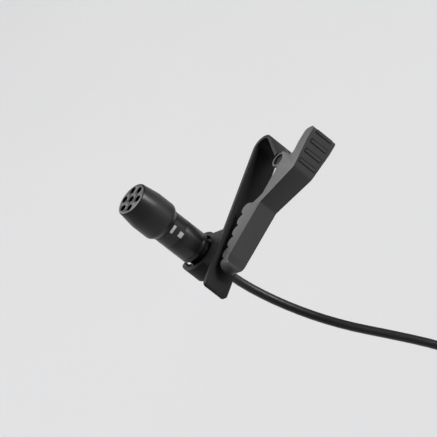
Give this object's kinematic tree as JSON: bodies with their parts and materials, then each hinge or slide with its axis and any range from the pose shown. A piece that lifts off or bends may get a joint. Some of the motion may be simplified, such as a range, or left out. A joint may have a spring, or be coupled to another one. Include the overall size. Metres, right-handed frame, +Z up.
{
  "type": "lavalier microphone",
  "caption": "Clip-on electret lapel microphone in a snap ring on a sprung toothed clip, with a coiled cable and a small jack plug.",
  "frame": {"origin": "on the inner face of the clip's plate, half way across its width, right behind the microphone's axis, where the teeth grip the garment", "axes": "+Z up along the microphone towards its sound holes, +X along the clip from the jaw to the thumb pad, +Y out of the plate towards the microphone"},
  "size_m": [0.0434, 0.0455, 0.1795],
  "materials": {
    "black_nylon": "fine matte moulding",
    "black_metal": "satin black coating",
    "steel": "drawn wire",
    "dark_mesh": "blackened fine weave",
    "felt": "felt",
    "aluminium": "drawn",
    "brass": "plain",
    "clear_film": "metallised film",
    "white_plastic": "moulded",
    "circuit_board": "solder mask",
    "chip": "moulded",
    "black_rubber": "satin",
    "band": "satin black with a pale printed mark",
    "core_wire": "insulated wire",
    "tie_fabric": "hook and loop",
    "plug_metal": "bright nickel"
  },
  "bodies": {
    "clip": {"clip_base": "black_nylon", "pivot_pin": "steel", "torsion_spring": "steel"},
    "lever": {"clip_lever": "black_nylon"},
    "microphone": {"grille_cap": "black_metal", "grille_mesh": "dark_mesh", "acoustic_felt": "felt", "capsule_can": "aluminium", "diaphragm_ring": "brass", "diaphragm": "clear_film", "diaphragm_spacer": "clear_film", "backplate": "brass", "backplate_holder": "white_plastic", "capsule_board": "circuit_board", "fet_chip": "chip", "capsule_gasket": "black_rubber", "barrel_shell": "black_metal", "label_band": "band", "end_cap": "black_metal", "cable_clamp": "brass", "inner_cable": "black_rubber", "filter_board": "circuit_board", "filter_chips": "chip", "capsule_leads": "core_wire", "cable_cores": "core_wire", "strain_relief": "black_rubber", "cord_run": "black_rubber", "cord_coil": "black_rubber", "cable_tie": "tie_fabric", "cord_tail": "black_rubber", "plug_boot": "black_rubber", "plug_handle": "black_metal", "plug_sleeve": "plug_metal", "plug_ring": "plug_metal", "plug_insulators": "chip", "plug_tip": "plug_metal"}
  },
  "joints": [
    {"name": "lever_hinge", "type": "hinge", "parent": "clip", "child": "lever", "pos_m": [0.0213, -0.0113, 0], "axis": [0, 0, 1], "range_deg": [0, 28], "stiffness_Nm_per_rad": 0.01, "springref_deg": -114.59, "deforming": ["torsion_spring"]},
    {"name": "microphone_swivel", "type": "hinge", "parent": "clip", "child": "microphone", "pos_m": [0, 0.008, 0], "axis": [0, 0, 1], "range_deg": [-180, 180]}
  ]
}
